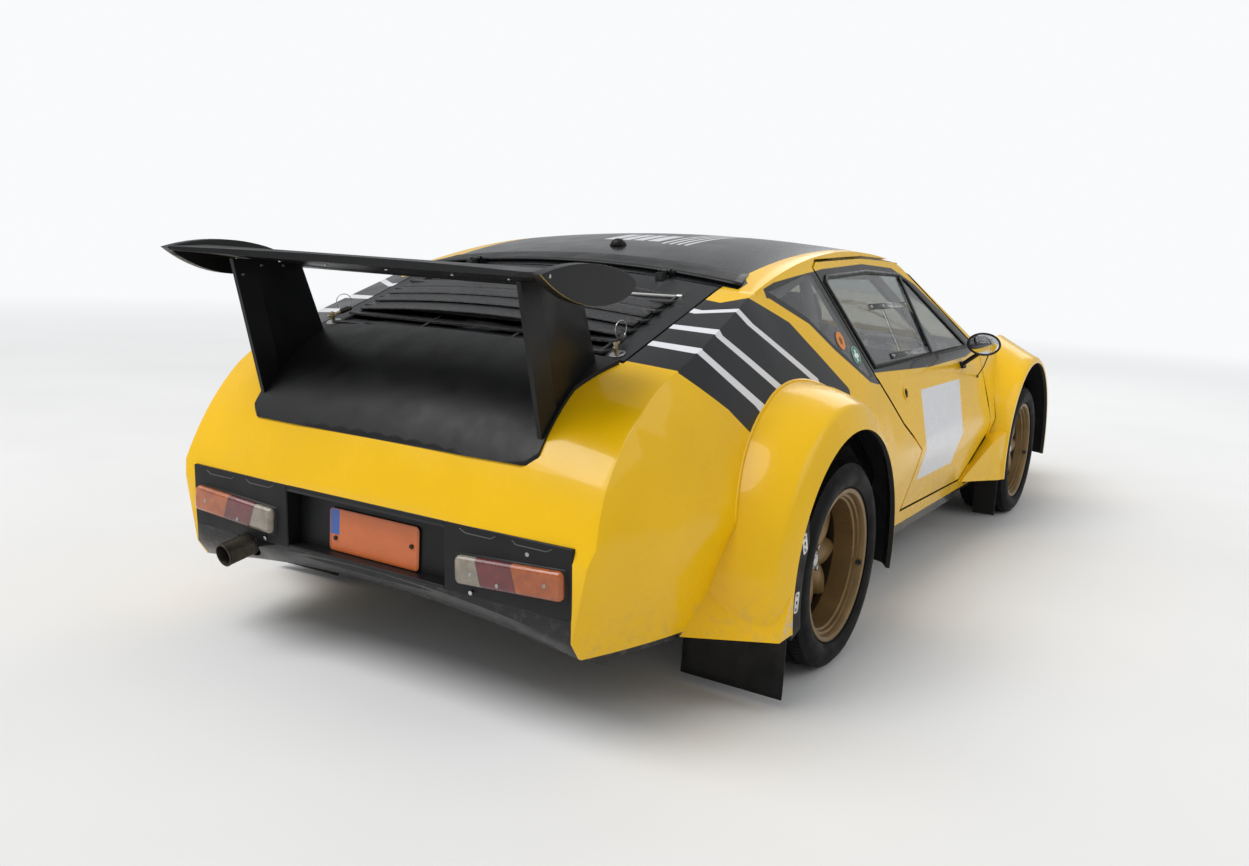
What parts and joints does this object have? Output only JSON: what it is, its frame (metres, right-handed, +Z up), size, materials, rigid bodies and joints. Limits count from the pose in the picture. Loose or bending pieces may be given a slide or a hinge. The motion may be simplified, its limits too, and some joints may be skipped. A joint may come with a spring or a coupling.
{
  "type": "rally car",
  "caption": "Low wedge-shaped rear-engined rally coupe with flared arches, louvred engine lid, tail wing, opening doors and lids, steering and rolling wheels.",
  "frame": {"origin": "on the ground below the middle of the car's bounding box", "axes": "+Z up, -Y towards the nose, +X towards the car's left side"},
  "size_m": [1.796, 4.2586, 1.1285],
  "materials": {
    "body_paint": "gloss yellow paint on moulded panels",
    "roof_paint": "gloss black paint",
    "black_satin": "satin black moulding",
    "glass": "clear glazing",
    "lamp": "moulded lens",
    "headlamp": "reflector and lens",
    "plate": "blank orange plate",
    "steel_dark": "painted and heat-marked steel",
    "engine_metal": "cast surfaces",
    "seat_cloth": "woven cloth over a moulded shell",
    "tyre": "rubber",
    "rubber": "rubber sheet",
    "rim": "bronze paint",
    "tub": "black paint"
  },
  "bodies": {
    "root": {"front_body": "body_paint", "roof": "roof_paint", "rear_body": "body_paint", "tail_cover": "black_satin", "flares_front": "body_paint", "flares_rear": "body_paint", "floor_pan": "tub", "windscreen": "glass", "lamp_cover": "glass", "headlamps": "headlamp", "front_spoiler": "black_satin", "tail_panel": "black_satin", "tail_lamps": "lamp", "number_plate": "plate", "exhaust": "steel_dark", "engine": "engine_metal", "front_suspension": "steel_dark", "rear_suspension": "steel_dark", "dashboard": "black_satin", "steering_wheel": "black_satin", "seats": "seat_cloth", "roll_cage": "steel_dark", "wing": "black_satin", "front_liners": "tub", "rear_liners": "tub", "quarter_windows": "glass", "mudflaps_front": "rubber", "mudflaps_rear": "rubber"},
    "wheel_front_left": {"rim_front_left": "rim", "tyre_front_left": "tyre"},
    "wheel_rear_left": {"rim_rear_left": "rim", "tyre_rear_left": "tyre"},
    "door_left": {"door_left": "body_paint", "door_glass_left": "glass", "mirror_left": "black_satin"},
    "knuckle_left": {"knuckle_left": "steel_dark"},
    "wheel_front_right": {"rim_front_right": "rim", "tyre_front_right": "tyre"},
    "wheel_rear_right": {"rim_rear_right": "rim", "tyre_rear_right": "tyre"},
    "door_right": {"door_right": "body_paint", "door_glass_right": "glass", "mirror_right": "black_satin"},
    "knuckle_right": {"knuckle_right": "steel_dark"},
    "engine_lid": {"engine_lid": "black_satin"},
    "front_lid": {"front_lid": "body_paint"}
  },
  "joints": [
    {"name": "steer_left", "type": "hinge", "parent": "root", "child": "knuckle_left", "pos_m": [0.628, -1.1225, 0.278], "axis": [0, 0, 1], "range_deg": [-28, 28]},
    {"name": "spin_front_left", "type": "hinge", "parent": "knuckle_left", "child": "wheel_front_left", "pos_m": [0.747, -1.1225, 0.278], "axis": [1, 0, 0], "continuous": true},
    {"name": "spin_rear_left", "type": "hinge", "parent": "root", "child": "wheel_rear_left", "pos_m": [0.766, 1.1475, 0.278], "axis": [1, 0, 0], "continuous": true},
    {"name": "door_left_swing", "type": "hinge", "parent": "root", "child": "door_left", "pos_m": [0.778, -0.5825, 0.455], "axis": [0, 0, -1], "range_deg": [0, 62]},
    {"name": "steer_right", "type": "hinge", "parent": "root", "child": "knuckle_right", "pos_m": [-0.628, -1.1225, 0.278], "axis": [0, 0, 1], "range_deg": [-28, 28]},
    {"name": "spin_front_right", "type": "hinge", "parent": "knuckle_right", "child": "wheel_front_right", "pos_m": [-0.747, -1.1225, 0.278], "axis": [1, 0, 0], "continuous": true},
    {"name": "spin_rear_right", "type": "hinge", "parent": "root", "child": "wheel_rear_right", "pos_m": [-0.766, 1.1475, 0.278], "axis": [1, 0, 0], "continuous": true},
    {"name": "door_right_swing", "type": "hinge", "parent": "root", "child": "door_right", "pos_m": [-0.778, -0.5825, 0.455], "axis": [0, 0, 1], "range_deg": [0, 62]},
    {"name": "engine_lid_lift", "type": "hinge", "parent": "root", "child": "engine_lid", "pos_m": [0, 1.2175, 1.018], "axis": [1, 0, 0], "range_deg": [0, 62]},
    {"name": "front_lid_lift", "type": "hinge", "parent": "root", "child": "front_lid", "pos_m": [0, -0.9285, 0.756], "axis": [-1, 0, 0], "range_deg": [0, 60]}
  ],
  "couplings": [
    {"joint": "steer_right", "follows": "steer_left", "ratio": 1}
  ]
}
